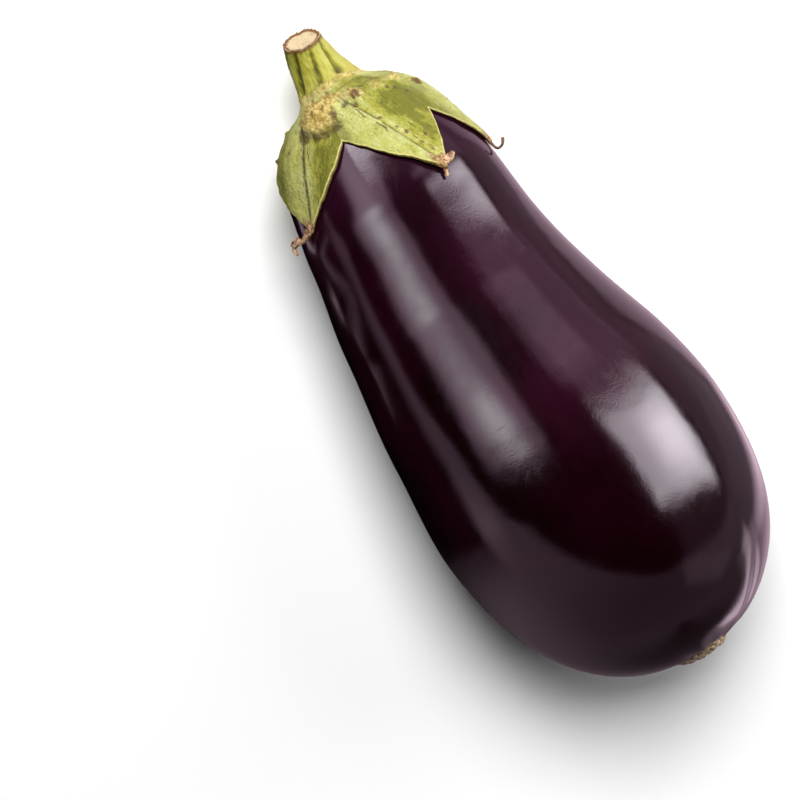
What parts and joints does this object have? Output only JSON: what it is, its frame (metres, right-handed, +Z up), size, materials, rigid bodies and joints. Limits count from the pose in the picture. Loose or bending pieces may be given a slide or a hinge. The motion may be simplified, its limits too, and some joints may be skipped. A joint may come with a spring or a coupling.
{
  "type": "eggplant",
  "caption": "Whole purple eggplant as picked, lying on its belly, with a green lobed calyx, a short cut stem and a corky scar at the blossom end.",
  "frame": {"origin": "centre of the small flat spot under the belly that the fruit rests on", "axes": "+Z up, off the surface that it lies on; +X along the fruit towards the blossom end; +Y across it"},
  "size_m": [0.2063, 0.0906, 0.0911],
  "materials": {
    "purple_skin": "smooth waxy skin, very dark purple, glossy",
    "calyx_green": "leathery yellow-green husk, matt, with pale rims and dried brown tips",
    "stem_green": "woody fluted stalk, yellow-green, matt, with a pale cut end",
    "scar_cork": "dry brown cork, rough"
  },
  "bodies": {
    "root": {"fruit": "purple_skin", "calyx": "calyx_green", "stem": "stem_green", "blossom_scar": "scar_cork"}
  },
  "joints": []
}
